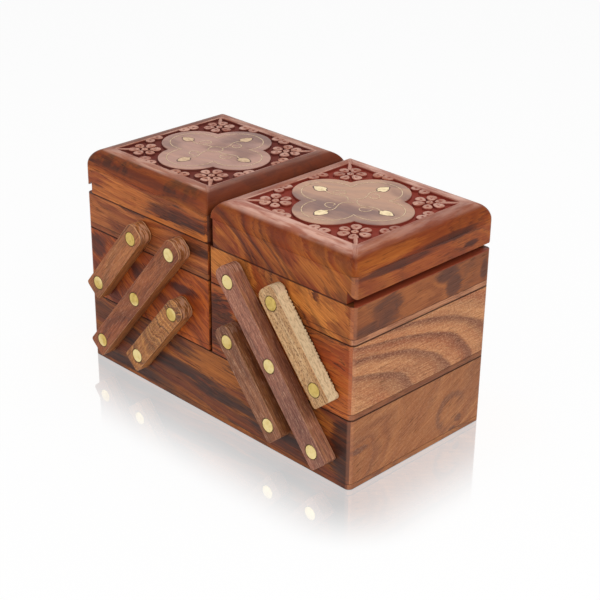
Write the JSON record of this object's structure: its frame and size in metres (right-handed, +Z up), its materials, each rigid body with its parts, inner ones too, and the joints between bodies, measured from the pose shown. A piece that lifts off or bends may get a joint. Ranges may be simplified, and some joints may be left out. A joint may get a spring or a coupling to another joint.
{
  "type": "inlaid cantilever jewellery box",
  "caption": "Long lined wooden jewellery box in tiers: lidded carved upper trays and deeper middle trays swing outwards on brass-pinned side levers over one base.",
  "frame": {"origin": "centre of the box's underside, on the surface that it stands on", "axes": "+X along the box's length to the right half, +Y to the hinged back, +Z up"},
  "size_m": [0.2032, 0.1188, 0.1258],
  "materials": {
    "side_boards": "satin lacquer over strongly figured rosewood",
    "end_boards": "satin lacquer over paler swirled rosewood",
    "lid_rails": "satin lacquer",
    "carved_top": "waxed carved rosewood with a dark red stained ground",
    "tray_floor_wood": "satin lacquer",
    "base_floor_wood": "dark stained edge",
    "dark_lever": "open-grained, lightly waxed",
    "brown_lever": "open-grained, lightly waxed",
    "pale_lever": "sawn sapwood, lightly waxed",
    "velvet": "short-pile velvet",
    "brass_pins": "filed flush, soft sheen",
    "brass_inlay": "filed flush, soft sheen",
    "hinge_brass": "brushed"
  },
  "bodies": {
    "base": {"base_front": "side_boards", "base_back": "side_boards", "base_left_end": "end_boards", "base_right_end": "end_boards", "base_floor": "base_floor_wood", "base_lining": "velvet", "base_pins": "brass_pins"},
    "right_long_levers": {"right_front_long_lever": "dark_lever", "right_back_long_lever": "dark_lever"},
    "right_lower_levers": {"right_front_lower_lever": "brown_lever", "right_back_lower_lever": "brown_lever"},
    "right_middle_tray": {"right_middle_front": "side_boards", "right_middle_back": "side_boards", "right_middle_inner_end": "end_boards", "right_middle_outer_end": "end_boards", "right_middle_floor": "tray_floor_wood", "right_middle_lining": "velvet", "right_middle_pins": "brass_pins"},
    "right_upper_levers": {"right_front_upper_lever": "pale_lever", "right_back_upper_lever": "brown_lever"},
    "right_upper_tray": {"right_upper_front": "side_boards", "right_upper_back": "side_boards", "right_upper_inner_end": "end_boards", "right_upper_outer_end": "end_boards", "right_upper_floor": "tray_floor_wood", "right_upper_lining": "velvet", "right_upper_pins": "brass_pins", "right_upper_hinges": "hinge_brass"},
    "right_lid": {"right_lid_long_rails": "lid_rails", "right_lid_end_rails": "lid_rails", "right_lid_top": "carved_top", "right_lid_inlay": "brass_inlay", "right_lid_hinges": "hinge_brass"},
    "left_long_levers": {"left_front_long_lever": "dark_lever", "left_back_long_lever": "dark_lever"},
    "left_lower_levers": {"left_front_lower_lever": "brown_lever", "left_back_lower_lever": "brown_lever"},
    "left_middle_tray": {"left_middle_front": "side_boards", "left_middle_back": "side_boards", "left_middle_inner_end": "end_boards", "left_middle_outer_end": "end_boards", "left_middle_floor": "tray_floor_wood", "left_middle_lining": "velvet", "left_middle_pins": "brass_pins"},
    "left_upper_levers": {"left_front_upper_lever": "brown_lever", "left_back_upper_lever": "brown_lever"},
    "left_upper_tray": {"left_upper_front": "side_boards", "left_upper_back": "side_boards", "left_upper_inner_end": "end_boards", "left_upper_outer_end": "end_boards", "left_upper_floor": "tray_floor_wood", "left_upper_lining": "velvet", "left_upper_pins": "brass_pins", "left_upper_hinges": "hinge_brass"},
    "left_lid": {"left_lid_long_rails": "lid_rails", "left_lid_end_rails": "lid_rails", "left_lid_top": "carved_top", "left_lid_inlay": "brass_inlay", "left_lid_hinges": "hinge_brass"}
  },
  "joints": [
    {"name": "right_fold", "type": "hinge", "parent": "base", "child": "right_long_levers", "pos_m": [0.0831, 0, 0.018], "axis": [0, 1, 0], "range_deg": [0, 80]},
    {"name": "right_lower_lever_pivot", "type": "hinge", "parent": "base", "child": "right_lower_levers", "pos_m": [0.0521, 0, 0.0199], "axis": [0, 1, 0], "range_deg": [0, 80]},
    {"name": "right_middle_tray_pivot", "type": "hinge", "parent": "right_long_levers", "child": "right_middle_tray", "pos_m": [0.05281, 0, 0.0541], "axis": [0, 1, 0], "range_deg": [-80, 0]},
    {"name": "right_upper_lever_pivot", "type": "hinge", "parent": "right_middle_tray", "child": "right_upper_levers", "pos_m": [0.08421, 0, 0.0533], "axis": [0, 1, 0], "range_deg": [0, 80]},
    {"name": "right_upper_tray_pivot", "type": "hinge", "parent": "right_long_levers", "child": "right_upper_tray", "pos_m": [0.02268, 0, 0.09], "axis": [0, 1, 0], "range_deg": [-80, 0]},
    {"name": "right_lid_hinge", "type": "hinge", "parent": "right_upper_tray", "child": "right_lid", "pos_m": [0.0514, 0.0527, 0.10075], "axis": [-1, 0, 0], "range_deg": [0, 100]},
    {"name": "left_fold", "type": "hinge", "parent": "base", "child": "left_long_levers", "pos_m": [-0.0831, 0, 0.018], "axis": [0, -1, 0], "range_deg": [0, 80]},
    {"name": "left_lower_lever_pivot", "type": "hinge", "parent": "base", "child": "left_lower_levers", "pos_m": [-0.0521, 0, 0.0199], "axis": [0, -1, 0], "range_deg": [0, 80]},
    {"name": "left_middle_tray_pivot", "type": "hinge", "parent": "left_long_levers", "child": "left_middle_tray", "pos_m": [-0.05281, 0, 0.0541], "axis": [0, -1, 0], "range_deg": [-80, 0]},
    {"name": "left_upper_lever_pivot", "type": "hinge", "parent": "left_middle_tray", "child": "left_upper_levers", "pos_m": [-0.08421, 0, 0.0533], "axis": [0, -1, 0], "range_deg": [0, 80]},
    {"name": "left_upper_tray_pivot", "type": "hinge", "parent": "left_long_levers", "child": "left_upper_tray", "pos_m": [-0.02268, 0, 0.09], "axis": [0, -1, 0], "range_deg": [-80, 0]},
    {"name": "left_lid_hinge", "type": "hinge", "parent": "left_upper_tray", "child": "left_lid", "pos_m": [-0.0514, 0.0527, 0.10075], "axis": [-1, 0, 0], "range_deg": [0, 100]}
  ],
  "couplings": [
    {"joint": "right_lower_lever_pivot", "follows": "right_fold", "ratio": 1},
    {"joint": "right_middle_tray_pivot", "follows": "right_fold", "ratio": -1},
    {"joint": "right_upper_lever_pivot", "follows": "right_fold", "ratio": 1},
    {"joint": "right_upper_tray_pivot", "follows": "right_fold", "ratio": -1},
    {"joint": "left_lower_lever_pivot", "follows": "left_fold", "ratio": 1},
    {"joint": "left_middle_tray_pivot", "follows": "left_fold", "ratio": -1},
    {"joint": "left_upper_lever_pivot", "follows": "left_fold", "ratio": 1},
    {"joint": "left_upper_tray_pivot", "follows": "left_fold", "ratio": -1}
  ]
}
